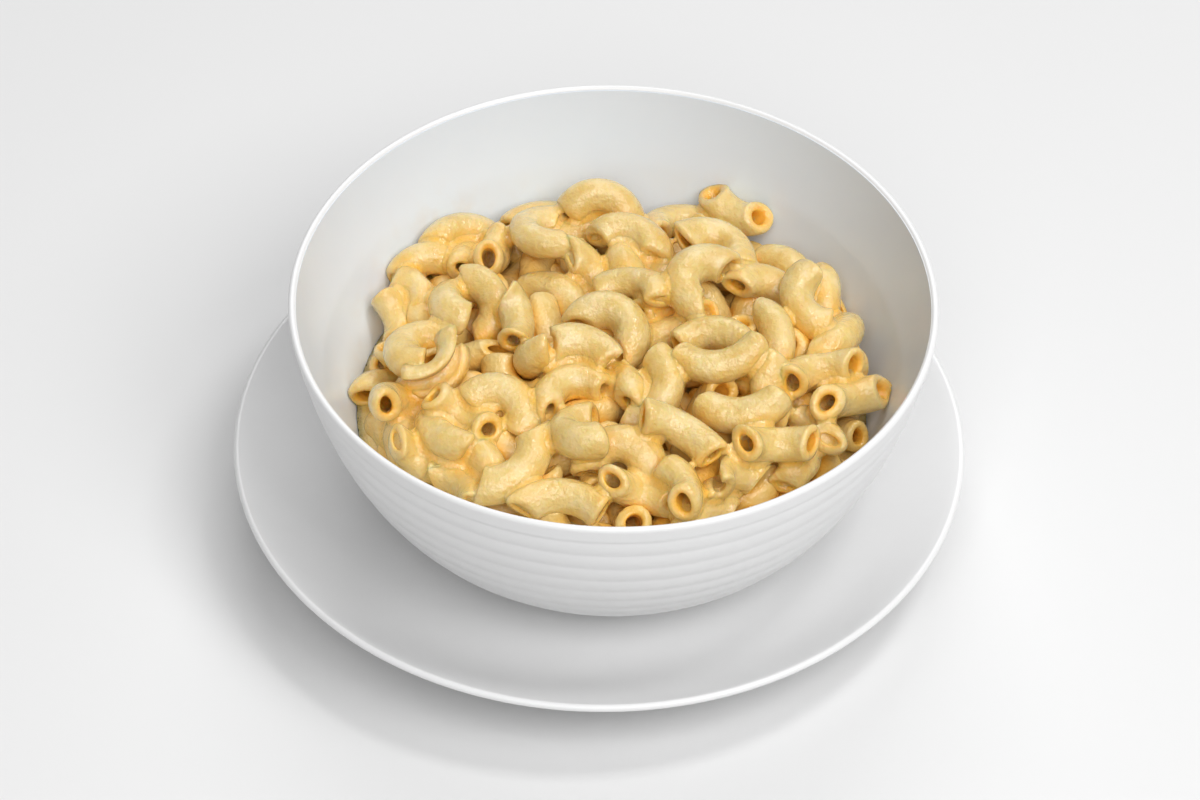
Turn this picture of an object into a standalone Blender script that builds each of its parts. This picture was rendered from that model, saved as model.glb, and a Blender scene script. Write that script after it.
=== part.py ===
"""Macaroni and cheese in a ribbed cereal bowl on its matching under-plate.

Metres, +Z up. The origin is on the table, under the middle of the plate.
Three solids touch nothing but keep a hair's breadth between them: the plate, the bowl
that stands on its well, and the heap of macaroni that fills the lower bowl.
"""

import math

import bmesh
import bpy
import numpy as np
from mathutils import Vector
from mathutils.geometry import interpolate_bezier

MM = 0.001

# Plate: a coupe shape with a beaded lip, on a foot ring.
PLATE_RADIUS = 89.4 * MM
PLATE_HEIGHT = 23.0 * MM
PLATE_WELL_RADIUS = 46.0 * MM
PLATE_WELL_HEIGHT = 6.4 * MM
PLATE_UNDER_HEIGHT = 2.2 * MM
PLATE_FOOT_INNER = 45.0 * MM
PLATE_FOOT_OUTER = 49.0 * MM
PLATE_LIP_RADIUS = 0.9 * MM
PLATE_EDGE_WALL = 2.4 * MM
PLATE_SHOULDER_INSET = 2.4 * MM
PLATE_SHOULDER_DROP = 1.5 * MM
PLATE_WELL_PULL = 0.42
PLATE_EDGE_PULL = 0.36
PLATE_UPPER_SLOPE = 0.26
PLATE_LOWER_SLOPE = 0.28
PLATE_CURVE_STEPS = 7
FOOT_CHAMFER = 0.4 * MM
PLATE_FOOT_STEP = 1.0 * MM

# Bowl: its rim stands well above the plate's edge, and it stands a little off centre.
RIM_RADIUS = 77.5 * MM
RIM_HEIGHT = 70.1 * MM
RIM_WALL = 1.8 * MM
BOWL_SHIFT = 2.9 * MM
BOWL_FOOT_HEIGHT = PLATE_WELL_HEIGHT + 0.3 * MM
BOWL_FOOT_INNER = 30.0 * MM
BOWL_FOOT_OUTER = 33.5 * MM
BOWL_FOOT_DEPTH = 1.6 * MM
WALL_LEAN = math.radians(9.8)
WALL_HANDLE_TOP = 35.0 * MM
WALL_HANDLE_FOOT = 22.8 * MM
WALL_THICKNESS = 3.3 * MM
BASE_THICKNESS = 4.2 * MM

# Horizontal ribs thrown round the outside of the bowl.
RIB_START = 4.4 * MM
RIB_PITCH = 6.15 * MM
RIB_DEPTH = 0.3 * MM
RIB_COUNT = 9
RIB_POINTS = 3

# Heap: a low mound with an uneven top, lower against the wall than in the middle.
HEAP_GAP = 0.35 * MM
HEAP_TOP = 59.5 * MM
HEAP_EDGE = 36.0 * MM
HEAP_EDGE_SWAY = 4.0 * MM
MOUND_POWER = 3.2
UNDERSIDE_POWER = 1.6
HEAP_RINGS = 18
HEAP_UNDER_RINGS = 4

# Elbows that show on top of the heap: short bent tubes.
ELBOW_COUNT = 105
ELBOW_RADIUS = 4.6 * MM
ELBOW_BEND = 8.5 * MM
ELBOW_HALF_SPAN = math.radians(62.0)
ELBOW_RISE = 1.6 * MM
CREVICE_FLOOR = 2.2 * MM
ELBOW_SPREAD = 0.82
ELBOW_TURN_STEP = 2.3
ELBOW_RISE_STEP = 1.7

ROUND_STEPS = 44
GOLDEN_ANGLE = math.pi * (3.0 - math.sqrt(5.0))
SCREW_MERGE = 0.01 * MM


def clear_scene():
    """Take out whatever the opened file holds."""
    for item in list(bpy.data.objects):
        bpy.data.objects.remove(item, do_unlink=True)


def make_material(name, colour, roughness, subsurface=0.0):
    """One Principled material, with its colour in linear values."""
    material = bpy.data.materials.new(name)
    material.use_nodes = True
    shader = material.node_tree.nodes["Principled BSDF"]
    shader.inputs["Base Color"].default_value = (*colour, 1.0)
    shader.inputs["Roughness"].default_value = roughness
    shader.inputs["Metallic"].default_value = 0.0
    shader.inputs["Subsurface Weight"].default_value = subsurface
    return material


def arc(centre, radius, start_degrees, end_degrees, count):
    """Points along a circular arc in the (radius, height) plane."""
    angles = np.radians(np.linspace(start_degrees, end_degrees, count))
    return [(centre[0] + radius * math.cos(a), centre[1] + radius * math.sin(a)) for a in angles]


def bezier(start, handle_start, handle_end, end, count):
    """Points along a cubic curve in the (radius, height) plane."""
    knots = [Vector((x, z)) for x, z in (start, handle_start, handle_end, end)]
    return [(point.x, point.y) for point in interpolate_bezier(*knots, count)]


def add_object(name, mesh, material):
    """Put a finished mesh in the scene under its node's name."""
    mesh.materials.append(material)
    item = bpy.data.objects.new(name, mesh)
    bpy.context.scene.collection.objects.link(item)
    return item


def turned(name, profile, material, shift=0.0):
    """Turn a half section, which runs up the inside and down the outside, round the upright axis."""
    mesh = bpy.data.meshes.new(name)
    points = [(r, 0.0, z) for r, z in profile]
    mesh.from_pydata(points, [(i, i + 1) for i in range(len(points) - 1)], [])
    item = add_object(name, mesh, material)
    item.location.x = shift
    screw = item.modifiers.new("Turn", "SCREW")
    screw.axis = "Z"
    screw.angle = math.tau
    screw.steps = ROUND_STEPS
    screw.render_steps = ROUND_STEPS
    screw.use_merge_vertices = True
    screw.merge_threshold = SCREW_MERGE
    screw.use_smooth_shade = True
    return item


def outer_wall(count):
    """The bowl's outer wall before its ribs, from just under the rim down to the foot."""
    start = (RIM_RADIUS, RIM_HEIGHT - RIM_WALL / 2)
    foot = (BOWL_FOOT_OUTER, BOWL_FOOT_HEIGHT + BOWL_FOOT_DEPTH)
    handle_start = (
        start[0] - WALL_HANDLE_TOP * math.sin(WALL_LEAN),
        start[1] - WALL_HANDLE_TOP * math.cos(WALL_LEAN),
    )
    handle_end = (foot[0] + WALL_HANDLE_FOOT, foot[1])
    return np.array(bezier(start, handle_start, handle_end, foot, count))


def wall_frame(wall):
    """Distance along the wall, and its inward normal, at each of its points."""
    step = np.linalg.norm(np.diff(wall, axis=0), axis=1)
    along = np.concatenate([[0.0], np.cumsum(step)])
    tangent = np.gradient(wall, along, axis=0)
    tangent /= np.linalg.norm(tangent, axis=1)[:, None]
    inward = np.column_stack([tangent[:, 1], -tangent[:, 0]])
    return along, inward


def ribbed_wall():
    """The outer wall with its ribs: each bows out between two shallow grooves."""
    wall = outer_wall(400)
    along, inward = wall_frame(wall)
    rib_end = RIB_START + RIB_PITCH * RIB_COUNT
    ribs = np.linspace(RIB_START, rib_end, RIB_COUNT * RIB_POINTS + 1)
    plain = np.linspace(rib_end, along[-1], 4)[1:]
    stations = np.concatenate([[0.0, RIB_START * 0.6], ribs, plain])
    phase = np.clip((stations - RIB_START) / RIB_PITCH, 0.0, RIB_COUNT)
    on_ribs = (stations >= RIB_START) & (stations <= rib_end)
    depth = np.where(on_ribs, RIB_DEPTH * (1.0 - np.abs(np.sin(math.pi * phase))), 0.0)
    base = np.column_stack([np.interp(stations, along, wall[:, k]) for k in (0, 1)])
    normal = np.column_stack([np.interp(stations, along, inward[:, k]) for k in (0, 1)])
    return [tuple(point) for point in base + normal * depth[:, None]]


def inner_wall(count):
    """The bowl's inside from the middle of its floor up to just under the rim."""
    wall = outer_wall(200)
    along, inward = wall_frame(wall)
    share = along / along[-1]
    thickness = RIM_WALL + (WALL_THICKNESS - RIM_WALL) * np.minimum(1.0, share * 4.0)
    thickness += (BASE_THICKNESS - WALL_THICKNESS) * share**3
    inside = wall + inward * thickness[:, None]
    stations = np.linspace(along[-1], 0.0, count)
    side = np.column_stack([np.interp(stations, along, inside[:, k]) for k in (0, 1)])
    floor = side[0, 1]
    return [(0.0, floor), (side[0, 0] * 0.5, floor)] + [tuple(point) for point in side]


def build_bowl(material):
    """The bowl: thin rounded rim, ribbed outside, smooth inside, low foot ring."""
    rim_centre = (RIM_RADIUS - RIM_WALL / 2, RIM_HEIGHT - RIM_WALL / 2)
    rim = arc(rim_centre, RIM_WALL / 2, 150.0, 30.0, 5)
    hollow = BOWL_FOOT_HEIGHT + BOWL_FOOT_DEPTH
    foot = [
        (BOWL_FOOT_OUTER, BOWL_FOOT_HEIGHT + FOOT_CHAMFER),
        (BOWL_FOOT_OUTER - FOOT_CHAMFER, BOWL_FOOT_HEIGHT),
        (BOWL_FOOT_INNER + FOOT_CHAMFER, BOWL_FOOT_HEIGHT),
        (BOWL_FOOT_INNER, hollow),
        (0.0, hollow),
    ]
    profile = inner_wall(12) + rim + ribbed_wall() + foot
    return turned("bowl", profile, material, BOWL_SHIFT)


def build_plate(material):
    """The under-plate: flat well, one long curve up to a beaded lip, foot ring beneath."""
    lip = (PLATE_RADIUS - PLATE_LIP_RADIUS, PLATE_HEIGHT - PLATE_LIP_RADIUS)
    shoulder = (lip[0] - PLATE_SHOULDER_INSET, PLATE_HEIGHT - PLATE_SHOULDER_DROP)
    reach = shoulder[0] - PLATE_WELL_RADIUS
    upper = bezier(
        (PLATE_WELL_RADIUS, PLATE_WELL_HEIGHT),
        (PLATE_WELL_RADIUS + PLATE_WELL_PULL * reach, PLATE_WELL_HEIGHT),
        (shoulder[0] - PLATE_EDGE_PULL * reach, shoulder[1] - PLATE_UPPER_SLOPE * reach),
        shoulder,
        PLATE_CURVE_STEPS,
    )
    under_edge = (lip[0] - FOOT_CHAMFER, PLATE_HEIGHT - PLATE_EDGE_WALL)
    foot_top = (PLATE_FOOT_OUTER + PLATE_FOOT_STEP, PLATE_UNDER_HEIGHT)
    spread = under_edge[0] - foot_top[0]
    lower = bezier(
        under_edge,
        (under_edge[0] - PLATE_EDGE_PULL * spread, under_edge[1] - PLATE_LOWER_SLOPE * spread),
        (foot_top[0] + PLATE_WELL_PULL * spread, foot_top[1]),
        foot_top,
        PLATE_CURVE_STEPS,
    )
    foot = [
        (PLATE_FOOT_OUTER, FOOT_CHAMFER),
        (PLATE_FOOT_OUTER - FOOT_CHAMFER, 0.0),
        (PLATE_FOOT_INNER + FOOT_CHAMFER, 0.0),
        (PLATE_FOOT_INNER, FOOT_CHAMFER),
        (PLATE_FOOT_INNER - FOOT_CHAMFER, PLATE_UNDER_HEIGHT),
        (0.0, PLATE_UNDER_HEIGHT),
    ]
    profile = [(0.0, PLATE_WELL_HEIGHT), (PLATE_WELL_RADIUS * 0.5, PLATE_WELL_HEIGHT)] + upper
    profile += arc(lip, PLATE_LIP_RADIUS, 115.0, -50.0, 6) + lower + foot
    return turned("under_plate", profile, material)


def elbow_relief(x, y):
    """Height of the backs of the topmost elbows above the mound, at points (x, y).

    Each elbow is an arc seen from above; its back is a half circle over that arc.
    """
    relief = np.full_like(x, CREVICE_FLOOR)
    reach = RIM_RADIUS * ELBOW_SPREAD
    for k in range(ELBOW_COUNT):
        distance = reach * math.sqrt((k + 0.5) / ELBOW_COUNT)
        turn = k * GOLDEN_ANGLE
        heading = ELBOW_TURN_STEP * k
        dx = x - distance * math.cos(turn) + ELBOW_BEND * math.cos(heading)
        dy = y - distance * math.sin(turn) + ELBOW_BEND * math.sin(heading)
        angle = (np.arctan2(dy, dx) - heading + math.pi) % math.tau - math.pi
        angle = heading + np.clip(angle, -ELBOW_HALF_SPAN, ELBOW_HALF_SPAN)
        gap_x = dx - ELBOW_BEND * np.cos(angle)
        gap_y = dy - ELBOW_BEND * np.sin(angle)
        back = np.sqrt(np.maximum(ELBOW_RADIUS**2 - gap_x**2 - gap_y**2, 0.0))
        rise = ELBOW_RISE * math.sin(ELBOW_RISE_STEP * k)
        relief = np.maximum(relief, np.where(back > 0.0, back + rise, 0.0))
    return relief


def edge_height(turns):
    """Height at which the heap meets the wall: it sways with the angle and is lowest at -X."""
    slow = 0.55 * np.cos(turns - math.radians(35.0))
    quick = 0.3 * np.sin(3.0 * turns + 0.8) + 0.25 * np.sin(5.0 * turns + 2.1)
    return HEAP_EDGE + HEAP_EDGE_SWAY * (slow + quick)


def heap_rings(inside):
    """The heap's rings of points: the mound from its crown out, then the underside inwards."""
    floor = inside[0, 1] + HEAP_GAP
    flat = inside[2, 0]
    mound = HEAP_TOP - ELBOW_RADIUS - ELBOW_RISE
    rings = []
    for k in range(HEAP_RINGS + 1):
        turns = np.arange(max(1, 6 * k)) * math.tau / max(1, 6 * k)
        edges = edge_height(turns)
        edge_radius = np.interp(edges, inside[2:, 1], inside[2:, 0]) - HEAP_GAP
        share = k / HEAP_RINGS
        x = edge_radius * share * np.cos(turns)
        y = edge_radius * share * np.sin(turns)
        z = edges + (mound - edges) * (1.0 - share**MOUND_POWER)
        z += elbow_relief(x, y) * min(1.0, 4.0 * (1.0 - share))
        rings.append(np.column_stack([x, y, z]))
    for k in range(1, HEAP_UNDER_RINGS + 1):
        share = k / HEAP_UNDER_RINGS
        height = floor + (edges - floor) * (1.0 - share) ** UNDERSIDE_POWER
        radius = np.interp(height - HEAP_GAP, inside[2:, 1], inside[2:, 0]) - 2.0 * HEAP_GAP
        if k == HEAP_UNDER_RINGS:
            radius = np.full_like(turns, flat - HEAP_GAP)
        rings.append(np.column_stack([radius * np.cos(turns), radius * np.sin(turns), height]))
    return rings, floor


def build_heap(material):
    """The heap as one solid: an uneven mound above, the shape of the bowl's inside below."""
    rings, floor = heap_rings(np.array(inner_wall(60)))
    body = bmesh.new()
    loops = [[body.verts.new(point) for point in ring] for ring in rings]
    root = body.verts.new((0.0, 0.0, floor))
    crown = loops[0][0]
    for i in range(6):
        body.faces.new((crown, loops[1][i], loops[1][(i + 1) % 6]))
    for k in range(1, HEAP_RINGS):
        inner, outer = loops[k], loops[k + 1]
        for sector in range(6):
            for i in range(k + 1):
                a = inner[(sector * k + i) % (6 * k)]
                b = outer[sector * (k + 1) + i]
                c = outer[(sector * (k + 1) + i + 1) % (6 * k + 6)]
                body.faces.new((a, b, c))
                if i < k:
                    body.faces.new((a, c, inner[(sector * k + i + 1) % (6 * k)]))
    count = 6 * HEAP_RINGS
    for upper, lower in zip(loops[HEAP_RINGS:], loops[HEAP_RINGS + 1 :]):
        for i in range(count):
            j = (i + 1) % count
            body.faces.new((upper[i], lower[i], lower[j], upper[j]))
    for i in range(count):
        body.faces.new((root, loops[-1][(i + 1) % count], loops[-1][i]))
    bmesh.ops.recalc_face_normals(body, faces=body.faces)
    mesh = bpy.data.meshes.new("macaroni_heap")
    body.to_mesh(mesh)
    body.free()
    mesh.shade_smooth()
    item = add_object("macaroni_heap", mesh, material)
    item.location.x = BOWL_SHIFT
    return item


def main():
    clear_scene()
    glaze = make_material("white_ware", (0.80, 0.80, 0.79), 0.22)
    pasta = make_material("cheese_macaroni", (0.85, 0.58, 0.22), 0.35, 0.2)
    build_plate(glaze)
    build_bowl(glaze)
    build_heap(pasta)


main()
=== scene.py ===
# %% [markdown]
# # Macaroni and cheese in a ribbed bowl
#
# A heap of cooked elbow macaroni in a thin cheese sauce fills the lower part of a white ribbed
# bowl, which stands on a matching under-plate. The CAD frame gives the outer sizes. The ware is
# turned again here with many more steps, and the single solid of the heap is replaced by separate
# elbows that are dropped into the bowl, a sauce that bridges them, and a plain core underneath.

# %% Load the frame
import math

import bpy
import numpy as np
from mathutils import Matrix, Vector


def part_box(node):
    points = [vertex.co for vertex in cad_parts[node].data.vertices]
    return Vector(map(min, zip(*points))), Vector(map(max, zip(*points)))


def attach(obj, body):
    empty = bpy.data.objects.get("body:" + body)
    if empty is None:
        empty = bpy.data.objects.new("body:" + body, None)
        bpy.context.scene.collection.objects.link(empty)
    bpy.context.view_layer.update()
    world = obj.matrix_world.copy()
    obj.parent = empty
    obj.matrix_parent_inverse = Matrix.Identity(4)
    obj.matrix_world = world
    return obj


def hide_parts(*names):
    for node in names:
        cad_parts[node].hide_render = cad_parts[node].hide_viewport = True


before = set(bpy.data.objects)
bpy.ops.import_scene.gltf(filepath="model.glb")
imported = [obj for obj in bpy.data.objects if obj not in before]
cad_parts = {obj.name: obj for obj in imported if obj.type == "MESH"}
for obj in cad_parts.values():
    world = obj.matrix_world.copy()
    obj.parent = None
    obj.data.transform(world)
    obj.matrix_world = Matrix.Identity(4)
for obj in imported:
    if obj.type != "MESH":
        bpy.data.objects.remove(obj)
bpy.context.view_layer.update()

MM = 0.001
bowl_low, bowl_high = (np.array(corner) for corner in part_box("bowl"))
plate_low, plate_high = (np.array(corner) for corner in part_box("under_plate"))
heap_high = np.array(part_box("macaroni_heap")[1])
bowl_x = (bowl_low[0] + bowl_high[0]) / 2
rim_radius = (bowl_high[1] - bowl_low[1]) / 2
rim_height = bowl_high[2]
plate_radius = (plate_high[1] - plate_low[1]) / 2
plate_height = plate_high[2]
print("rim radius %.1f mm at height %.1f mm" % (rim_radius / MM, rim_height / MM))
print("the frame's heap reaches %.1f mm" % (heap_high[2] / MM))

# %% [markdown]
# ## Helpers for meshes
#
# Every piece below is a grid of points worked out with numpy: rows run along a section or a
# path, columns run round it. One function numbers the faces of such a grid, and one puts the
# arrays into a Blender mesh. Nothing loops over single vertices, so even the heap is quick.

# %% Grid faces and meshes
def grid_faces(rows, columns, first=0, close_rows=False):
    """Quads (r, c), (r, c+1), (r+1, c+1), (r+1, c) of a grid whose columns wrap round."""
    r = np.arange(rows if close_rows else rows - 1)[:, None]
    c = np.arange(columns)[None, :]
    below, beside = (r + 1) % rows, (c + 1) % columns
    quads = np.stack([
        r * columns + c, r * columns + beside, below * columns + beside, below * columns + c], -1)
    return first + quads.reshape(-1, 4)


def fan_faces(pole, ring, outward):
    """Triangles from one point to each side of a ring of points."""
    following = np.roll(ring, -1)
    fan = np.stack([np.full(len(ring), pole), ring, following], -1)
    return fan if outward else fan[:, ::-1]


def make_mesh(name, points, quads, triangles=None, smooth=True):
    """One mesh object at the origin from arrays of points, quads and triangles."""
    triangles = np.zeros((0, 3), int) if triangles is None else triangles
    mesh = bpy.data.meshes.new(name)
    mesh.vertices.add(len(points))
    mesh.vertices.foreach_set("co", np.ascontiguousarray(points, np.float32).ravel())
    corners = np.concatenate([np.ravel(quads), np.ravel(triangles)]).astype(np.int32)
    sizes = np.concatenate([np.full(len(quads), 4), np.full(len(triangles), 3)])
    mesh.loops.add(len(corners))
    mesh.loops.foreach_set("vertex_index", corners)
    mesh.polygons.add(len(sizes))
    mesh.polygons.foreach_set("loop_start", (np.cumsum(sizes) - sizes).astype(np.int32))
    mesh.polygons.foreach_set("use_smooth", np.full(len(sizes), smooth))
    mesh.update(calc_edges=True)
    piece = bpy.data.objects.new(name, mesh)
    bpy.context.scene.collection.objects.link(piece)
    print(name, len(points), "points,", len(quads) * 2 + len(triangles), "triangles")
    return piece


def turned(name, profile, steps, centre_x=0.0):
    """A turned piece: each profile point (radius, height) goes round the upright axis.

    The profile starts on the axis, runs up the inside, down the outside and ends on the axis.
    """
    turns = np.arange(steps) * math.tau / steps
    radius, height = profile[1:-1, 0, None], profile[1:-1, 1, None]
    rings = np.stack([
        centre_x + radius * np.cos(turns), radius * np.sin(turns), height + 0.0 * turns], -1)
    ends = [[centre_x, 0.0, profile[0, 1]], [centre_x, 0.0, profile[-1, 1]]]
    points = np.concatenate([rings.reshape(-1, 3), ends])
    count = len(profile) - 2
    quads = grid_faces(count, steps)[:, ::-1]
    first, last = np.arange(steps), (count - 1) * steps + np.arange(steps)
    fans = np.concatenate([
        fan_faces(count * steps, first, True), fan_faces(count * steps + 1, last, False)])
    return make_mesh(name, points, quads, fans)


# %% [markdown]
# ## Helpers for materials
#
# Colours are written as the sRGB hex values that a colour picker shows, and one function turns
# them to the linear values that Blender's sockets expect. A second adds a node with its settings
# and links in one line, so that each material below reads as a list of what it is made of.

# %% Colours and nodes
def linear(code, alpha=1.0):
    """An sRGB hex colour such as "E8CC88" as linear red, green, blue and alpha."""
    channels = [int(code[k : k + 2], 16) / 255 for k in (0, 2, 4)]
    return tuple(c / 12.92 if c <= 0.04045 else ((c + 0.055) / 1.055) ** 2.4 for c in channels) + (alpha,)


def add_node(tree, kind, settings=None, **sockets):
    """Add a node, set its properties, then set or link each input named in sockets.

    A socket name has underscores for spaces, and its value is a plain value or an output.
    """
    node = tree.nodes.new(kind)
    for key, value in (settings or {}).items():
        setattr(node, key, value)
    for key, value in sockets.items():
        name = key.replace("_", " ")
        socket = node.inputs[int(name[5:])] if name.startswith("Input") else node.inputs[name]
        if isinstance(value, bpy.types.NodeSocket):
            tree.links.new(value, socket)
        else:
            socket.default_value = value
    return node


def new_material(name):
    """An empty node material, and the tree to fill."""
    material = bpy.data.materials.new(name)
    material.use_nodes = True
    material.node_tree.nodes.clear()
    return material, material.node_tree


def finish_material(tree, shader):
    """Link the shader to the material's output."""
    output = add_node(tree, "ShaderNodeOutputMaterial")
    tree.links.new(shader.outputs[0], output.inputs["Surface"])


def ramp(tree, factor, stops):
    """A colour ramp from a factor: stops are (position, linear colour)."""
    node = add_node(tree, "ShaderNodeValToRGB", Fac=factor)
    while len(node.color_ramp.elements) < len(stops):
        node.color_ramp.elements.new(0.5)
    for element, (position, colour) in zip(node.color_ramp.elements, stops):
        element.position = position
        element.color = colour
    return node.outputs["Color"]


# %% [markdown]
# ## Camera, light and floor
#
# The view looks down at about 44 degrees through a long lens, from far enough away that the
# rim's ellipse hardly tapers. Four soft boxes light it: two on the right, the front one large and
# the high one small, leave the left inner wall bright and the right one in shade, and a wide one
# before and one behind soften that. A weak, even surround keeps the shadows pale. The floor is
# plain, pale and larger than the view.

# %% Camera
LENS = 150.0
SENSOR = 36.0
FAR_LIMIT = 10.0
EYE_AWAY = 867.0 * MM
EYE_ABOVE_RIM = 816.4 * MM
PITCH = math.radians(44.465)
PAN = math.radians(-0.189)
ROLL = math.radians(0.958)

sight = Vector((math.sin(PAN) * math.cos(PITCH), math.cos(PAN) * math.cos(PITCH), -math.sin(PITCH)))
level = Vector((math.cos(PAN), -math.sin(PAN), 0.0))
upright = level.cross(sight)
right = level * math.cos(ROLL) + upright * math.sin(ROLL)
up = upright * math.cos(ROLL) - level * math.sin(ROLL)

lens = bpy.data.cameras.new("camera")
lens.lens = LENS
lens.sensor_width = SENSOR
lens.clip_end = FAR_LIMIT
camera = bpy.data.objects.new("camera", lens)
turn = Matrix((right, up, -sight)).transposed().to_4x4()
camera.matrix_world = Matrix.Translation((bowl_x, -EYE_AWAY, rim_height + EYE_ABOVE_RIM)) @ turn
bpy.context.scene.collection.objects.link(camera)
bpy.context.scene.camera = camera
bpy.context.scene.view_settings.view_transform = "Standard"

# %% Lights: place in metres, side of the square box in metres, power in watts
LIGHT_AIM = (0.0, 0.0, 0.05)
SURROUND = 0.2
LIGHTS = {
    "key_right": ((0.73, -0.73, 1.23), 0.7, 8.8),
    "high_right": ((0.55, 0.0, 1.50), 0.3, 6.0),
    "front": ((0.0, -1.03, 1.23), 0.9, 9.8),
    "back": ((0.0, 1.03, 1.23), 0.9, 7.4),
}


def add_softbox(name, place, aim, side, watts):
    """A square area light at a place, turned to face a point."""
    lamp = bpy.data.lights.new(name, "AREA")
    lamp.shape = "RECTANGLE"
    lamp.size, lamp.size_y = side, side
    lamp.energy = watts
    item = bpy.data.objects.new(name, lamp)
    item.location = place
    item.rotation_euler = (Vector(aim) - Vector(place)).to_track_quat("-Z", "Y").to_euler()
    bpy.context.scene.collection.objects.link(item)
    return item


for name, (place, side, watts) in LIGHTS.items():
    add_softbox(name, place, LIGHT_AIM, side, watts)
print(len(LIGHTS), "soft boxes")

world = bpy.data.worlds.new("surround")
world.use_nodes = True
world.node_tree.nodes["Background"].inputs["Color"].default_value = linear("FFFFFF")
world.node_tree.nodes["Background"].inputs["Strength"].default_value = SURROUND
bpy.context.scene.world = world

# %% Floor
FLOOR_HALF = 2.5
FLOOR_ROUGHNESS = 0.9
corners = np.array([[-1, -1, 0], [1, -1, 0], [1, 1, 0], [-1, 1, 0]]) * FLOOR_HALF
floor = make_mesh("floor", corners, np.array([[0, 1, 2, 3]]), smooth=False)
floor_paint, tree = new_material("matt_white_board")
shader = add_node(
    tree, "ShaderNodeBsdfPrincipled", Base_Color=linear("E3E3E3"), Roughness=FLOOR_ROUGHNESS)
finish_material(tree, shader)
floor.data.materials.append(floor_paint)

# %% [markdown]
# ## The ware: bowl and under-plate
#
# The real ware is white glazed porcelain. The bowl is thrown with a thin rounded rim and shallow
# horizontal ribs outside, and is smooth inside; the plate is a plain coupe shape with a raised
# bead round its edge. Both are surfaces of revolution, so each is one profile turned round the
# upright axis. The outer wall is a single cubic curve, and the ribs are added along its normal.

# %% Profile tools
def cubic(start, handle_a, handle_b, end, count):
    """Points of a cubic curve: the four knots weighted by (1-t)^3, 3(1-t)^2 t, 3(1-t) t^2, t^3."""
    t = np.linspace(0.0, 1.0, count)[:, None]
    knots = [np.array(knot) for knot in (start, handle_a, handle_b, end)]
    weights = [(1 - t) ** 3, 3 * (1 - t) ** 2 * t, 3 * (1 - t) * t**2, t**3]
    return sum(weight * knot for weight, knot in zip(weights, knots))


def arc(centre, radius, start, end, count):
    """Points along a circular arc in the (radius, height) plane, between angles in degrees."""
    angles = np.radians(np.linspace(start, end, count))
    return np.column_stack([centre[0] + radius * np.cos(angles), centre[1] + radius * np.sin(angles)])


def resample(line, stations):
    """Points of a polyline at given distances along it."""
    along = np.concatenate([[0.0], np.cumsum(np.linalg.norm(np.diff(line, axis=0), axis=1))])
    return np.column_stack([np.interp(stations, along, line[:, k]) for k in range(line.shape[1])])


def length_of(line):
    """Length of a polyline."""
    return float(np.linalg.norm(np.diff(line, axis=0), axis=1).sum())


def inward_normals(line):
    """Unit normals of a wall profile that runs down the outside, pointing to the inside."""
    tangent = np.gradient(line, axis=0)
    tangent /= np.linalg.norm(tangent, axis=1)[:, None]
    return np.column_stack([tangent[:, 1], -tangent[:, 0]])


# %% Bowl sizes
RIM_WALL = 1.8 * MM
WALL_LEAN = math.radians(9.8)
HANDLE_TOP = 35.0 * MM
HANDLE_FOOT = 22.8 * MM
FOOT_OUTER = 33.5 * MM
FOOT_INNER = 30.0 * MM
FOOT_DEPTH = 1.6 * MM
FOOT_CHAMFER = 0.4 * MM
WALL_THICKNESS = 3.3 * MM
BASE_THICKNESS = 4.2 * MM
RIB_START = 4.4 * MM
RIB_PITCH = 6.15 * MM
RIB_DEPTH = 0.3 * MM
RIB_COUNT = 9
RIB_ROUNDING = 0.8
RIM_BLEND = 0.3 * MM
THICKENING = 4.0
TURN_STEPS = 192
CURVE_STEPS = 600
FLOOR_STEPS = 5
INNER_STEPS = 60
OUTER_STEPS = 140
RIM_ARC = (165.0, 15.0, 9)

foot_height = bowl_low[2]
wall_top = np.array([rim_radius, rim_height - RIM_WALL / 2])
wall_foot = np.array([FOOT_OUTER, foot_height + FOOT_DEPTH])
outer_wall = cubic(
    wall_top,
    wall_top - HANDLE_TOP * np.array([math.sin(WALL_LEAN), math.cos(WALL_LEAN)]),
    wall_foot + [HANDLE_FOOT, 0.0],
    wall_foot,
    CURVE_STEPS,
)
wall_length = length_of(outer_wall)
print("outer wall %.0f mm long from rim to foot" % (wall_length / MM))


# %% Bowl walls
def ribbed_wall(count):
    """The outer wall moved in by RIB_DEPTH times 1 - |sin| of the way along each rib, rounded."""
    stations = np.linspace(0.0, wall_length, count)
    line = resample(outer_wall, stations)
    phase = (stations - RIB_START) / RIB_PITCH
    ribs = (phase > 0.0) & (phase < RIB_COUNT)
    groove = np.where(ribs, 1.0 - np.abs(np.sin(math.pi * phase)) ** RIB_ROUNDING, 0.0)
    return line + inward_normals(line) * (RIB_DEPTH * groove)[:, None]


def inner_wall(count):
    """The inside of the bowl, from the middle of its floor up to just under the rim.

    It is the outer curve moved in by the wall's thickness, which grows from the rim down.
    """
    share = np.linspace(0.0, 1.0, len(outer_wall))
    stations = share * wall_length
    line = resample(outer_wall, stations)
    thickness = RIM_WALL + (WALL_THICKNESS - RIM_WALL) * np.minimum(1.0, share * THICKENING)
    thickness += (BASE_THICKNESS - WALL_THICKNESS) * share**3
    inside = line + inward_normals(line) * thickness[:, None]
    whole = length_of(inside)
    stations = np.append(np.linspace(0.0, whole - RIM_BLEND, count), whole)
    side = resample(inside[::-1], stations)
    out = np.linspace(0.0, side[0, 0], FLOOR_STEPS + 1)[:-1]
    middle = np.column_stack([out, np.full(FLOOR_STEPS, side[0, 1])])
    return np.concatenate([middle, side])


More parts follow.
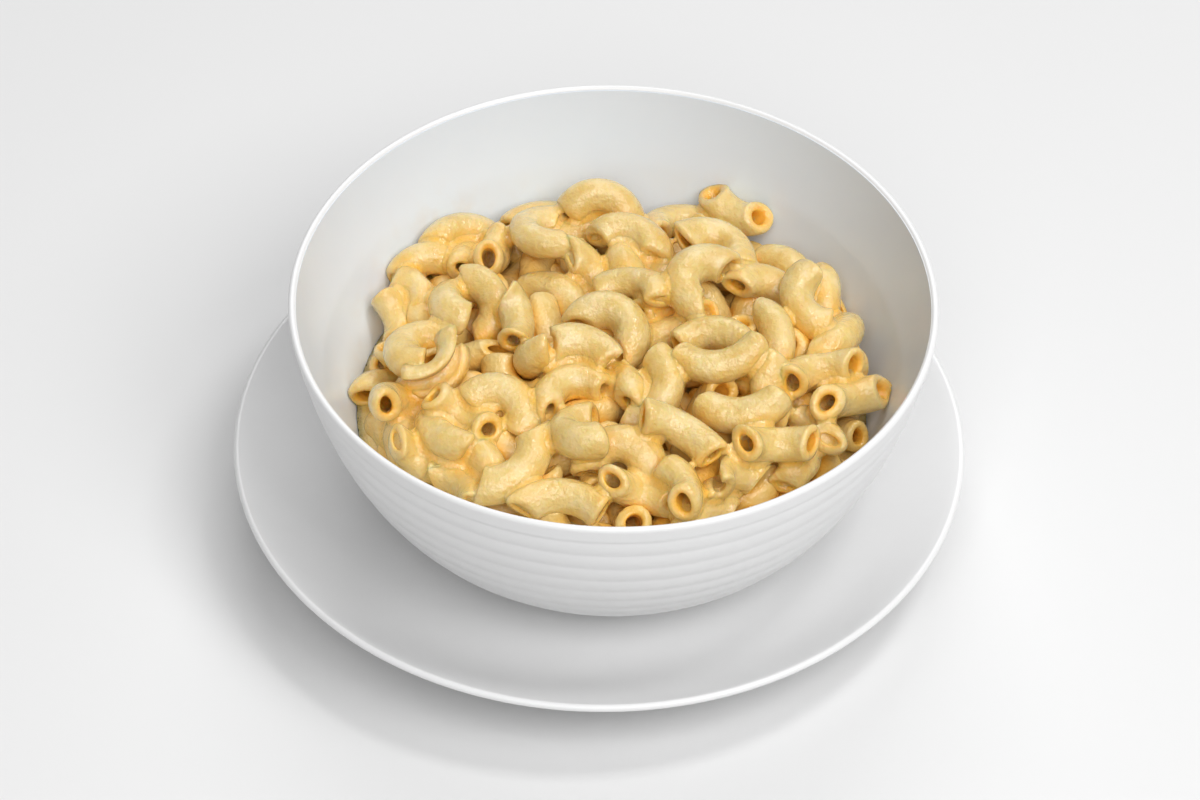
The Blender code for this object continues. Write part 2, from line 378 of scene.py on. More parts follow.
# %% Bowl
rim_centre = (rim_radius - RIM_WALL / 2, rim_height - RIM_WALL / 2)
foot_ring = np.array([
    [FOOT_OUTER, foot_height + FOOT_CHAMFER],
    [FOOT_OUTER - FOOT_CHAMFER, foot_height],
    [FOOT_INNER + FOOT_CHAMFER, foot_height],
    [FOOT_INNER, foot_height + FOOT_DEPTH],
    [0.0, foot_height + FOOT_DEPTH],
])
bowl_inside = inner_wall(INNER_STEPS)
bowl_profile = np.concatenate([
    bowl_inside, arc(rim_centre, RIM_WALL / 2, *RIM_ARC), ribbed_wall(OUTER_STEPS), foot_ring])
bowl = turned("ribbed_bowl", bowl_profile, TURN_STEPS, bowl_x)
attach(bowl, "root")
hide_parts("bowl")

# %% Under-plate
WELL_RADIUS = 46.0 * MM
WELL_HEIGHT = 6.4 * MM
UNDER_HEIGHT = 2.2 * MM
PLATE_FOOT_INNER = 45.0 * MM
PLATE_FOOT_OUTER = 49.0 * MM
LIP_RADIUS = 0.9 * MM
EDGE_WALL = 2.4 * MM
SHOULDER_INSET = 2.4 * MM
SHOULDER_DROP = 1.5 * MM
FOOT_STEP = 1.0 * MM
WELL_PULL = 0.42
EDGE_PULL = 0.36
UPPER_SLOPE = 0.26
LOWER_SLOPE = 0.28
WELL_STEPS = 4
UPPER_STEPS = 40
UNDER_STEPS = 24
LIP_ARC = (125.0, -60.0, 12)

lip = np.array([plate_radius - LIP_RADIUS, plate_height - LIP_RADIUS])
shoulder = np.array([lip[0] - SHOULDER_INSET, plate_height - SHOULDER_DROP])
reach = shoulder[0] - WELL_RADIUS
upper_side = cubic(
    (WELL_RADIUS, WELL_HEIGHT),
    (WELL_RADIUS + WELL_PULL * reach, WELL_HEIGHT),
    (shoulder[0] - EDGE_PULL * reach, shoulder[1] - UPPER_SLOPE * reach),
    shoulder,
    UPPER_STEPS,
)
under_edge = np.array([lip[0] - FOOT_CHAMFER, plate_height - EDGE_WALL])
foot_top = np.array([PLATE_FOOT_OUTER + FOOT_STEP, UNDER_HEIGHT])
spread = under_edge[0] - foot_top[0]
under_side = cubic(
    under_edge,
    (under_edge[0] - EDGE_PULL * spread, under_edge[1] - LOWER_SLOPE * spread),
    (foot_top[0] + WELL_PULL * spread, foot_top[1]),
    foot_top,
    UNDER_STEPS,
)
plate_foot = np.array([
    [PLATE_FOOT_OUTER, FOOT_CHAMFER],
    [PLATE_FOOT_OUTER - FOOT_CHAMFER, 0.0],
    [PLATE_FOOT_INNER + FOOT_CHAMFER, 0.0],
    [PLATE_FOOT_INNER, FOOT_CHAMFER],
    [PLATE_FOOT_INNER - FOOT_CHAMFER, UNDER_HEIGHT],
    [0.0, UNDER_HEIGHT],
])
well = np.column_stack([
    np.linspace(0.0, WELL_RADIUS, WELL_STEPS + 1)[:-1], np.full(WELL_STEPS, WELL_HEIGHT)])
plate_profile = np.concatenate([
    well, upper_side, arc(lip, LIP_RADIUS, *LIP_ARC), under_side, plate_foot])
plate = turned("coupe_under_plate", plate_profile, TURN_STEPS)
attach(plate, "root")
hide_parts("under_plate")

# %% [markdown]
# ### Glazed porcelain
#
# Porcelain fired under a clear glaze: white clay with a thin layer of glass on top. To the eye it
# is a nearly neutral white that scatters light softly, with a low gloss that a faint unevenness of
# the glaze, a few millimetres across, breaks up. Inside, a painted cool cast offsets the warm light
# that the pasta throws on it, and there are smears of sauce where an elbow lies near.

# %% Ware material
GLAZE_WAVE = 9.0 * MM
GLAZE_GLOSS = (0.27, 0.30)
SMEAR = 6.0 * MM
SMEAR_STRENGTH = 0.4
PORCELAIN_IOR = 1.5


def glaze_material(name, low, high, smear=None):
    """White glaze: a faint unevenness of tone and gloss, and smears of sauce where it is used."""
    material, tree = new_material(name)
    place = add_node(tree, "ShaderNodeTexCoord").outputs["Object"]
    tone = add_node(tree, "ShaderNodeTexNoise", Vector=place, Scale=1.0 / GLAZE_WAVE, Detail=2.0)
    colour = ramp(tree, tone.outputs["Fac"], [(0.3, linear(low)), (0.7, linear(high))])
    if smear:
        streak = add_node(tree, "ShaderNodeTexNoise", Vector=place, Scale=1.0 / SMEAR, Detail=4.0)
        patch = add_node(
            tree, "ShaderNodeMapRange", Value=streak.outputs["Fac"], From_Min=0.45, From_Max=0.75,
            To_Max=SMEAR_STRENGTH)
        near = add_node(tree, "ShaderNodeAttribute", {"attribute_name": "splash"}).outputs["Fac"]
        amount = add_node(
            tree, "ShaderNodeMath", {"operation": "MULTIPLY"}, Input0=patch.outputs[0], Input1=near)
        colour = add_node(
            tree, "ShaderNodeMix", {"data_type": "RGBA"}, Input0=amount.outputs[0], Input6=colour,
            Input7=linear(smear)).outputs[2]
    gloss = add_node(
        tree, "ShaderNodeMapRange", Value=tone.outputs["Fac"], To_Min=GLAZE_GLOSS[0],
        To_Max=GLAZE_GLOSS[1])
    shader = add_node(
        tree, "ShaderNodeBsdfPrincipled", Base_Color=colour, Roughness=gloss.outputs["Result"],
        IOR=PORCELAIN_IOR)
    finish_material(tree, shader)
    return material


ware_glaze = glaze_material("white_glazed_porcelain", "EAEAEA", "EBEBEB")
# Inside glaze: a painted cool cast, bluer than the outer glaze, offsets the pasta's warm bounce light;
# the smears are sauce.
inner_glaze = glaze_material("white_glaze_with_painted_cool_cast_and_smears", "E2E9F1", "E3EAF2", "DDBE9A")
plate.data.materials.append(ware_glaze)
bowl.data.materials.append(ware_glaze)
bowl.data.materials.append(inner_glaze)
inner_faces = (len(bowl_inside) - 2) * TURN_STEPS
is_inside = np.zeros(len(bowl.data.polygons), np.int32)
is_inside[:inner_faces] = 1
is_inside[-2 * TURN_STEPS : -TURN_STEPS] = 1
bowl.data.polygons.foreach_set("material_index", is_inside)

# %% [markdown]
# ## The heap, in four parts
#
# Cooked elbow macaroni is a bent tube about 9 mm thick whose hole is a little under half of that.
# A lumpy surface alone would not do: the elbows cross, lean and show their open ends. So the heap
# is elbows placed one by one on top, more elbows strewn beneath them, a sauce that bridges the
# creases between them, and a plain core under it all, where only its height matters.
#
# The top elbows are listed rows: what kind of elbow, where its middle is on the bowl's
# plan in millimetres, how many layers up it lies, and three angles in degrees, each to the nearest
# ten. `facing` is where the back of the bend points, `arch` lifts that back and `roll` lifts its
# left end.

# %% Kinds of elbow: bend radius in mm and how far the bend turns in degrees
KINDS = {
    "hook": (7.0, 185.0),
    "crook": (7.8, 155.0),
    "elbow": (9.0, 125.0),
    "bend": (12.0, 95.0),
    "stub": (10.0, 80.0),
    "shell": (9.0, 120.0),
}

# %% Top elbows, back row first: kind, x, y, layer, facing, arch, roll
TOP_ELBOWS = [
    ("bend", -38, 50, 2.0, 110, 10, 20),
    ("stub", -47, 48, 1.0, 150, -20, 40),
    ("stub", -52, 43, 0.0, 70, 10, 0),
    ("stub", -37, 42, 1.0, 170, -10, 30),
    ("stub", -31, 40, 1.0, 170, 10, 20),
    ("hook", -22, 44, 2.0, 180, 10, 20),
    ("bend", -17, 57, 1.5, 100, 20, 10),
    ("crook", -3, 55, 3.0, 80, 40, 10),
    ("elbow", 5, 42, 2.2, 60, 30, 10),
    ("stub", -9, 50, 2.0, 120, -20, 0),
    ("elbow", -3, 31, 1.0, 30, 10, 30),
    ("stub", 3, 30, 1.0, 20, 20, 10),
    ("hook", 2, 11, 2.2, 50, 20, 10),
    ("shell", -6, -1, 3.0, 70, -10, 10),
    ("crook", -20, 0, 1.5, 170, -10, 50),
    ("crook", -12, -10, 2.0, 120, -20, 0),
    ("stub", 3, -8, 1.0, 50, 30, -30),
    ("hook", -11, -28, 2.0, 190, 10, 20),
    ("hook", 3, -29, 2.0, 80, 10, 10),
    ("bend", -11, -41, 1.0, 90, 10, 0),
    ("elbow", 7, -40, 0.5, 90, -20, 20),
    ("stub", 18, -42, 1.0, 20, 0, 0),
    ("stub", 22, -43, 1.0, 120, 20, 30),
    ("shell", 27, -36, 1.5, 120, 30, 30),
    ("elbow", 38, -29, 1.0, 110, -20, 20),
    ("stub", 45, -27, 0.0, 150, 10, 20),
    ("stub", 50, -18, 1.0, 20, 10, -10),
    ("bend", 55, -10, 1.0, 130, 0, 10),
    ("stub", 55, 2, 0.5, 160, 30, -10),
    ("elbow", 56, 11, 2.0, 340, 10, -20),
    ("elbow", 45, 17, 2.0, 200, 20, -10),
    ("stub", 51, 25, 1.0, 200, 20, -10),
    ("stub", 50, 32, 1.0, 220, 20, 0),
    ("bend", 44, 36, 1.0, 40, 30, 0),
    ("elbow", 39, 28, 1.0, 80, 0, 10),
    ("hook", 27, 41, 2.0, 60, 10, 10),
    ("hook", 17, 23, 3.0, 150, 10, -10),
    ("crook", 14, 57, 1.0, 120, -10, 10),
    ("stub", 30, 57, 2.0, 50, 10, 0),
    ("stub", 11, 18, 1.0, 130, -30, 10),
    ("bend", 14, 13, 1.0, 100, -20, -20),
    ("elbow", 25, 6, 2.2, 80, 10, -10),
    ("elbow", 40, 5, 2.0, 350, 30, 30),
    ("bend", 26, -8, 2.0, 270, 10, 10),
    ("stub", 31, -3, 1.0, 50, 0, -20),
    ("bend", 31, -21, 2.2, 270, 10, 10),
    ("elbow", 48, -4, 2.0, 110, -10, 0),
    ("stub", 38, -11, 2.0, 0, 10, 30),
    ("bend", 17, -27, 2.0, 70, -10, 20),
    ("elbow", 13, -13, 1.5, 320, 30, 30),
    ("stub", -56, 17, 0.0, 120, 0, 10),
    ("stub", -56, 5, 0.0, 120, 0, 20),
    ("elbow", -52, -11, 1.5, 140, -20, 40),
    ("stub", -54, -9, -0.5, 30, 10, -20),
    ("stub", -50, -19, 0.5, 190, 30, 10),
    ("hook", -50, 6, 2.2, 150, 10, 10),
    ("shell", -40, -7, 3.2, 310, 20, 20),
    ("bend", -42, -24, 2.0, 210, -10, 20),
    ("elbow", -34, -18, 1.5, 50, -10, 10),
    ("hook", -24, -15, 2.2, 60, 20, 10),
    ("stub", -30, -30, 1.0, 10, 10, 10),
    ("bend", -21, -36, 2.0, 310, 0, 20),
    ("stub", -34, -34, 1.0, 50, 0, -10),
    ("stub", -46, -26, 0.5, 60, 0, 20),
    ("stub", -55, 34, 1.0, 130, 30, 0),
    ("stub", -52, 22, 1.0, 10, 10, 20),
    ("stub", -48, 28, 1.0, 20, 10, 0),
    ("stub", -49, 40, 0.5, 90, 20, 0),
    ("crook", -41, 21, 2.5, 160, 10, 20),
    ("crook", -29, 20, 1.5, 10, 30, 20),
    ("stub", -23, 10, 2.0, 10, 20, 10),
    ("bend", -14, 28, 0.0, 50, 30, -10),
    ("bend", 6, 23, 1.0, 70, 20, -20),
    ("stub", 11, 33, 0.5, 50, 10, 10),
]

# %% [markdown]
# ### Poses
#
# A row becomes a place and a turn. The layers lie on a mound that drops towards the wall, and the
# turn is three plain rotations one after another: roll about the bend's own back, then the arch,
# then the facing. The strewn elbows beneath take even places on a sunflower spiral, and their
# angles come from a seeded generator, so every run builds the same heap.

# %% Places and turns
SEED = 11
TUBE = 4.45 * MM
LAYER = 3.8 * MM
MOUND = 43.5 * MM
MOUND_DROP = 6.5 * MM
MOUND_LEAN_X = 3.0 * MM
MOUND_LEAN_Y = 1.8 * MM
MOUND_REACH = 62.0 * MM
UNDER_REACH = 55.0 * MM
UNDER_COUNT = 84
UNDER_LAYERS = 1.4
UNDER_TILT = 30.0
GOLDEN_ANGLE = math.pi * (3.0 - math.sqrt(5.0))
rng = np.random.default_rng(SEED)


def mound_height(x, y):
    """Height of the lowest row's centre lines: a plateau that falls with the cube of the radius.

    It leans a little as well, so that it is lowest at the left and highest at the back.
    """
    lean = (MOUND_LEAN_X * x + MOUND_LEAN_Y * y) / MOUND_REACH
    return MOUND + lean - MOUND_DROP * (np.hypot(x, y) / MOUND_REACH) ** 3


def rotations(facing, arch, roll):
    """Rotation matrices: Z by facing, times Y by minus arch, times X by roll, all in degrees."""
    cf, sf = np.cos(np.radians(facing)), np.sin(np.radians(facing))
    ca, sa = np.cos(np.radians(arch)), np.sin(np.radians(arch))
    cr, sr = np.cos(np.radians(roll)), np.sin(np.radians(roll))
    one, nil = np.ones_like(cf), np.zeros_like(cf)
    about_z = np.array([[cf, -sf, nil], [sf, cf, nil], [nil, nil, one]])
    about_y = np.array([[ca, nil, -sa], [nil, one, nil], [sa, nil, ca]])
    about_x = np.array([[one, nil, nil], [nil, cr, -sr], [nil, sr, cr]])
    return np.einsum("ijn,jkn,kln->nil", about_z, about_y, about_x)


top_kinds = [row[0] for row in TOP_ELBOWS]
top_rows = np.array([row[1:] for row in TOP_ELBOWS], float)
top_x, top_y = top_rows[:, 0] * MM, top_rows[:, 1] * MM
top_z = mound_height(top_x, top_y) + top_rows[:, 2] * LAYER

order = np.arange(UNDER_COUNT) + 0.5
under_radius = UNDER_REACH * np.sqrt(order / UNDER_COUNT)
under_x = under_radius * np.cos(order * GOLDEN_ANGLE)
under_y = under_radius * np.sin(order * GOLDEN_ANGLE)
under_z = mound_height(under_x, under_y) - LAYER * rng.uniform(0.0, UNDER_LAYERS, UNDER_COUNT)
under_kinds = list(rng.choice(["elbow", "bend", "crook"], UNDER_COUNT))

kinds = top_kinds + under_kinds
middles = np.column_stack([
    np.concatenate([top_x, under_x]), np.concatenate([top_y, under_y]), np.concatenate([top_z, under_z])])
turns = rotations(
    np.concatenate([top_rows[:, 3], rng.uniform(0.0, 360.0, UNDER_COUNT)]),
    np.concatenate([top_rows[:, 4], rng.uniform(-UNDER_TILT, UNDER_TILT, UNDER_COUNT)]),
    np.concatenate([top_rows[:, 5], rng.uniform(-UNDER_TILT, UNDER_TILT, UNDER_COUNT)]),
)
print(len(top_kinds), "top elbows and", UNDER_COUNT, "strewn beneath")

# %% [markdown]
# ### Settling
#
# Listed places overlap or hover, so the elbows are settled. Each one is a stiff chain of balls
# along its bend. In every round balls of different elbows that overlap push each other apart,
# the wall pushes inwards, everything sinks a little, and then each chain is put back to its true
# shape by the rigid motion that fits its balls best. A weak pull keeps top elbows near their rows.
# A rigid body simulation could do this too, but it would scatter elbows that have their places.

# %% Chains of balls
BALLS = 7
ROUNDS = 140
SINK = 0.06 * MM
PRESS = 0.9 * MM
HOLD = 0.25
UNDER_HOLD = 0.02
EASE = 0.5
FOLLOW = 0.04
END_INSET = 0.7
MOST_INSET = 0.35
BED = 5.0 * MM
WALL_MARGIN = 0.5 * MM


def bend_points(kind, share):
    """Centre line of an elbow in its own frame: a circle's arc whose middle is the origin."""
    radius, span = KINDS[kind][0] * MM, math.radians(KINDS[kind][1])
    angle = (share - 0.5) * span
    return np.stack([radius * (np.cos(angle) - 1.0), radius * np.sin(angle), 0.0 * angle], -1)


def ball_shares(kind):
    """Where an elbow's balls sit, so that the end balls reach just to the cut ends."""
    length = KINDS[kind][0] * MM * math.radians(KINDS[kind][1])
    inset = min(MOST_INSET, END_INSET * TUBE / length)
    return np.linspace(inset, 1.0 - inset, BALLS)


inner_side = bowl_inside[FLOOR_STEPS:-1]
reach_in = -inward_normals(inner_side) * (TUBE + WALL_MARGIN)
wall_line = inner_side + reach_in


def wall_limit(height):
    """Radius at which a tube's centre line is held off the inner wall, by its offset curve."""
    return np.interp(height, wall_line[:, 1], wall_line[:, 0])


chains = np.stack([bend_points(kind, ball_shares(kind)) for kind in kinds])
chain_means = chains.mean(axis=1, keepdims=True)
owner = np.repeat(np.arange(len(kinds)), BALLS)
others = owner[:, None] != owner[None, :]
hold = np.where(np.arange(len(kinds)) < len(top_kinds), HOLD, UNDER_HOLD)[:, None, None]
wanted = np.einsum("nij,nbj->nbi", turns, chains) + middles[:, None, :]
balls = wanted.copy()
contact = 2.0 * TUBE - PRESS

# %% Rounds of settling
for _ in range(ROUNDS):
    flat = balls.reshape(-1, 3)
    squares = (flat**2).sum(axis=1)
    spacing = np.sqrt(np.maximum(squares[:, None] + squares[None, :] - 2.0 * flat @ flat.T, 1e-12))
    push = np.where(others & (spacing < contact), (contact - spacing) / spacing, 0.0)
    shift = flat * push.sum(axis=1)[:, None] - push @ flat
    crowd = np.maximum(1.0, (push > 0.0).sum(axis=1))
    moved = flat + EASE * shift / crowd[:, None] ** 0.5
    moved[:, 2] -= SINK
    away = np.hypot(moved[:, 0], moved[:, 1])
    moved[:, :2] *= np.minimum(1.0, wall_limit(moved[:, 2]) / np.maximum(away, 1e-6))[:, None]
    moved[:, 2] = np.maximum(moved[:, 2], mound_height(moved[:, 0], moved[:, 1]) - BED)
    moved = moved.reshape(balls.shape)
    wanted[:, :, 2] += FOLLOW * (moved[:, :, 2] - wanted[:, :, 2]).mean(axis=1, keepdims=True)
    moved += hold * (wanted - moved)
    centres = moved.mean(axis=1, keepdims=True)
    spread = np.einsum("nbi,nbj->nij", moved - centres, chains - chain_means)
    left, _, right_side = np.linalg.svd(spread)
    flip = np.linalg.det(left @ right_side)
    left[:, :, 2] *= flip[:, None]
    turns = left @ right_side
    balls = np.einsum("nij,nbj->nbi", turns, chains - chain_means) + centres

middles = centres[:, 0] - np.einsum("nij,nj->ni", turns, chain_means[:, 0])
depth = np.maximum(0.0, contact - spacing)[others]
print("deepest overlap %.1f mm, highest ball %.1f mm" % (depth.max() / MM, balls[:, :, 2].max() / MM))

# %% [markdown]
# ### The shape of one elbow
#
# The tube is one closed surface: out along the outside, round the cut lip, back along the hole
# and round the other lip. Each ring of it is turned about the bend. No two are alike: a ring may
# be squashed, more so in the hole; the cut may slant; the wall may carry one shallow dent.
# Torn elbows are different: there the wall is open along its length, like a shell.

# %% Elbow surfaces
HOLE = 0.47
LIP_BULGE = 0.45
LIP_START = 25.0
LIP_ROWS = 4
TORN_REACH = 118.0
HOLE_SQUASH = 0.9
SIDE_SWELL = 0.35
LUMP = 0.025
DENT_LENGTH = 0.16
DENT_WIDTH = 0.7


def tube_points(kind, along, depth, around, shape):
    """Points of a bent tube for distances along, depths in the wall and angles around.

    A depth of 1 is the outside and 0 the hole. The ring about the centre line is squashed by
    shape["squash"] in the direction shape["lean"], tapered, slanted at its ends and dented.
    """
    radius, span = KINDS[kind][0] * MM, math.radians(KINDS[kind][1])
    length = radius * span
    share = along / length
    end = np.clip(2.0 * np.abs(share - 0.5), 0.0, 1.2) ** 4
    squash = shape["squash"] + shape["pinch"] * end
    squash = squash * (1.0 + HOLE_SQUASH * (1.0 - depth))
    ring = TUBE * shape["size"] * (shape["hole"] + (1.0 - shape["hole"]) * depth)
    swell = 1.0 + shape["swell"] * np.sin(math.tau * share + shape["phase"])
    lumps = LUMP * np.sin(3.0 * around + shape["phase"] + 4.0 * share)
    gap = (around - shape["dent_turn"] + math.pi) % math.tau - math.pi
    spot = ((share - shape["dent_share"]) / DENT_LENGTH) ** 2 + (gap / DENT_WIDTH) ** 2
    dent = shape["dent"] * np.exp(-spot)
    ring = ring * swell * (1.0 + lumps - dent)
    c, s = np.cos(around - shape["lean"]), np.sin(around - shape["lean"])
    c, s = c * (1.0 - squash) * ring, s * (1.0 + SIDE_SWELL * squash) * ring
    cl, sl = math.cos(shape["lean"]), math.sin(shape["lean"])
    across, rise = c * cl - s * sl, c * sl + s * cl
    slant = np.where(share > 0.5, shape["slant_b"], shape["slant_a"]) * end
    angle = (along + slant * across) / radius - span / 2.0 + shape["warp"] * np.sin(math.tau * share)
    out = radius + across
    lift = rise + shape["twist"] * TUBE * (share - 0.5) ** 2 * 4.0
    return np.stack([out * np.cos(angle) - radius, out * np.sin(angle), lift + 0.0 * angle], -1)


# %% Measures of one elbow
def elbow_shape():
    """One set of seeded measures that make an elbow unlike its neighbours."""
    return {
        "size": rng.uniform(0.93, 1.06),
        "hole": HOLE + rng.uniform(-0.06, 0.05),
        "squash": rng.uniform(0.0, 0.13),
        "pinch": rng.uniform(-0.03, 0.22),
        "lean": rng.uniform(0.0, math.pi),
        "swell": rng.uniform(0.0, 0.05),
        "phase": rng.uniform(0.0, math.tau),
        "dent": rng.uniform(-0.06, 0.28),
        "dent_share": rng.uniform(0.15, 0.85),
        "dent_turn": rng.uniform(0.0, math.tau),
        "slant_a": rng.uniform(-0.35, 0.35),
        "slant_b": rng.uniform(-0.35, 0.35),
        "warp": rng.uniform(-0.06, 0.06),
        "twist": rng.uniform(-0.5, 0.5),
    }


# %% Whole and torn elbows
def whole_elbow(kind, shape, rows, columns):
    """A closed tube: outside, lip, hole and lip are the rows, the angles around the columns.

    Each lip is a half circle as wide as the wall, flattened by LIP_BULGE.
    """
    length = KINDS[kind][0] * MM * math.radians(KINDS[kind][1])
    wall = TUBE * (1.0 - shape["hole"])
    lip = np.radians(np.linspace(LIP_START, 180.0 - LIP_START, LIP_ROWS))
    stations = np.linspace(0.0, length, rows)
    back = stations[:: -2] if rows % 2 else stations[::-1]
    along = np.concatenate([
        stations, length + LIP_BULGE * wall * np.sin(lip), back, -LIP_BULGE * wall * np.sin(lip)])
    depth = np.concatenate([
        np.ones(rows), 0.5 + 0.5 * np.cos(lip), np.zeros(len(back)), 0.5 - 0.5 * np.cos(lip)])
    around = np.arange(columns) * math.tau / columns
    points = tube_points(kind, along[:, None], depth[:, None], around[None, :], shape)
    # hidden is painted shade for the hole: 1 along the hole, fading round the lips to 0 outside.
    hidden = np.repeat(1.0 - depth, columns)
    return points.reshape(-1, 3), grid_faces(len(along), columns, close_rows=True)[:, ::-1], hidden


def torn_elbow(kind, shape, rows, columns):
    """A tube open along its length: the section is a thick C, and both ends are closed by strips."""
    length = KINDS[kind][0] * MM * math.radians(KINDS[kind][1])
    half = np.linspace(-1.0, 1.0, columns // 2)
    reach = math.radians(TORN_REACH)
    around = np.concatenate([half, half[::-1]]) * reach + math.pi
    depth = np.concatenate([np.ones(len(half)), np.zeros(len(half))])
    along = np.linspace(0.0, length, rows)
    points = tube_points(kind, along[:, None], depth[None, :], around[None, :], shape)
    count = 2 * len(half)
    quads = grid_faces(rows, count)
    i = np.arange(len(half) - 1)
    cap = np.stack([i, i + 1, count - 2 - i, count - 1 - i], -1)
    faces = np.concatenate([quads, cap[:, ::-1], cap + (rows - 1) * count])[:, ::-1]
    # The last array is painted shade: 0.5 on the inner face of the C, 0 on the outside.
    return points.reshape(-1, 3), faces, np.tile(0.5 * (1.0 - depth), rows)


# %% [markdown]
# ### Where the food ends and where it is amber
#
# Soft pasta flattens against the bowl, so any point past the inner wall is drawn back to it.
# Sauce is thin on the backs of the elbows, which look pale, and thick where two of them touch,
# which look amber from the sauce and from painted shade. Low in the heap and in the holes the amber
# is painted shade alone. Each point stores that as one number, an attribute that the material
# reads, because a shader alone can't know where the neighbours are.

# %% Staying inside the bowl
WALL_GAP = 0.35 * MM


def inside_bowl(points):
    """Points drawn in towards the bowl's axis where they would pass through its inner wall."""
    limit = np.interp(points[:, 2], inner_side[:, 1], inner_side[:, 0]) - WALL_GAP
    across, along = points[:, 0] - bowl_x, points[:, 1]
    share = np.minimum(1.0, limit / np.maximum(np.hypot(across, along), WALL_GAP))
    return np.column_stack([bowl_x + across * share, along * share, points[:, 2]])


# %% How amber each point is: sauce colour and painted shade
CREASE_REACH = 2.4 * MM
AMBER_DEPTH = 16.0 * MM
CHUNK = 20000
spots = balls.reshape(-1, 3) + [bowl_x, 0.0, 0.0]


def creases(points):
    """How near the second elbow is to each point: 1 where it touches, fading over CREASE_REACH."""
    near = []
    for part in np.array_split(points, len(points) // CHUNK + 1):
        squares = (part**2).sum(axis=1)[:, None] + (spots**2).sum(axis=1)[None, :] - 2.0 * part @ spots.T
        closest = squares.reshape(len(part), -1, BALLS).min(axis=2)
        near.append(np.sqrt(np.maximum(np.partition(closest, 1, axis=1)[:, 1], 0.0)))
    return np.exp(-np.maximum(np.concatenate(near) - TUBE, 0.0) / CREASE_REACH)


def low_down(points):
    """How far each point lies below the top of the mound, as a share of AMBER_DEPTH."""
    # Painted shade: the lower a point lies below the mound's top, the more amber it is painted.
    top = mound_height(points[:, 0] - bowl_x, points[:, 1]) + 2.0 * LAYER
    return np.clip((top - points[:, 2]) / AMBER_DEPTH, 0.0, 1.0)


def read_points(piece, name="co"):
    """The points of a mesh, or their normals, as an array."""
    values = np.empty(len(piece.data.vertices) * 3, np.float32)
    piece.data.vertices.foreach_get(name, values)
    return values.reshape(-1, 3).astype(float)


def add_sauce_and_painted_shade(piece, hidden=0.0):
    """Store how amber each point is: sauce and painted shade in a crease, painted shade low in the heap
    or inside its hole.
    """
    points = read_points(piece)
    value = np.maximum(np.maximum(creases(points), low_down(points)), hidden)
    attribute = piece.data.attributes.new("crease", "FLOAT", "POINT")
    attribute.data.foreach_set("value", value.astype(np.float32))
    print(piece.name, "mean crease %.2f" % value.mean())


# %% [markdown]
# ### Elbows in the bowl
#
# All elbows on top share one mesh, and so do all beneath, so that the heap is a few pieces and
# not hundreds. Those on top get finer grids, because the others show only through the gaps. The
# bowl's wall gets a number as well: how near an elbow is, for the smears of sauce on the glaze.

# %% Strewing
SPLASH_REACH = 3.0 * MM
SPLASH_PARTS = 24
TOP_GRID = (17, 22)
UNDER_GRID = (11, 14)


def strew(name, chosen, rows, columns):
    """All chosen elbows as one piece: each is shaped, turned and moved to its settled place."""
    points, faces, hidden, first = [], [], [], 0
    for k in chosen:
        build = torn_elbow if kinds[k] == "shell" else whole_elbow
        local, quads, inside = build(kinds[k], elbow_shape(), rows, columns)
        points.append(inside_bowl(local @ turns[k].T + middles[k] + [bowl_x, 0.0, 0.0]))
        faces.append(quads + first)
        # hidden gathers the painted shade of each elbow's hole.
        hidden.append(inside)
        first += len(local)
    piece = make_mesh(name, np.concatenate(points), np.concatenate(faces))
    add_sauce_and_painted_shade(piece, np.concatenate(hidden))
    return piece


def add_splash():
    """Mark the bowl's wall near the pasta, where its sauce has smeared: 1 where an elbow touches."""
    parts = np.array_split(read_points(bowl), SPLASH_PARTS)
    near = [np.linalg.norm(part[:, None] - spots, axis=2).min(axis=1) for part in parts]
    value = np.exp(-np.maximum(np.concatenate(near) - TUBE, 0.0) / SPLASH_REACH)
    attribute = bowl.data.attributes.new("splash", "FLOAT", "POINT")
    attribute.data.foreach_set("value", value.astype(np.float32))
    print("wall within a smear's reach: %.0f%% of its points" % (100.0 * (value > 1.0 / math.e).mean()))


add_splash()
top_piece = strew("top_macaroni", range(len(top_kinds)), *TOP_GRID)
under_piece = strew("lower_macaroni", range(len(top_kinds), len(kinds)), *UNDER_GRID)

# %% [markdown]
# ### Sauce in the creases
#
# The cheese sauce clings as a film and gathers where two elbows touch. It is made from the elbows
# themselves: a voxel remesh turns them into one skin and smoothing fills its creases. Bubbles that
# are sealed inside are left out. Then each point moves along its normal: a little out where a
# second elbow is near, and in elsewhere, so that the sauce shows as soft fillets and leaves the
# backs of the pasta bare. A fluid simulation would be slower and harder to steer.

# %% Sauce
VOXEL = 0.9 * MM
SMOOTHING = 7
SMOOTH_FACTOR = 0.5
FILM = 0.15 * MM
DRAW_IN = 0.45 * MM


def largest_shell(count, quads):
    """Which points lie on the largest closed shell, leaving out bubbles sealed inside it.

    Each point takes the lowest number among itself and its neighbours, until nothing changes.
    """
    here, beside = quads.ravel(), np.roll(quads, -1, axis=1).ravel()
    label = np.arange(count)
    while True:
        low = label.copy()
        np.minimum.at(low, here, label[beside])
        np.minimum.at(low, beside, label[here])
        low = low[low]
        if (low == label).all():
            return label == np.bincount(label).argmax()
        label = low


# %% Sauce skin
mould = bpy.data.objects.new("sauce_mould", top_piece.data.copy())
bpy.context.scene.collection.objects.link(mould)
remesh = mould.modifiers.new("Skin", "REMESH")
remesh.mode = "VOXEL"
remesh.voxel_size = VOXEL
smooth = mould.modifiers.new("Fillets", "SMOOTH")
smooth.factor = SMOOTH_FACTOR
smooth.iterations = SMOOTHING
skin = mould.evaluated_get(bpy.context.evaluated_depsgraph_get())
mould.data = bpy.data.meshes.new_from_object(skin)
skin_quads = np.empty(len(mould.data.loops), np.int32)
mould.data.loops.foreach_get("vertex_index", skin_quads)
skin_quads = skin_quads.reshape(-1, 4)
skin_points = read_points(mould)
bpy.data.objects.remove(mould)

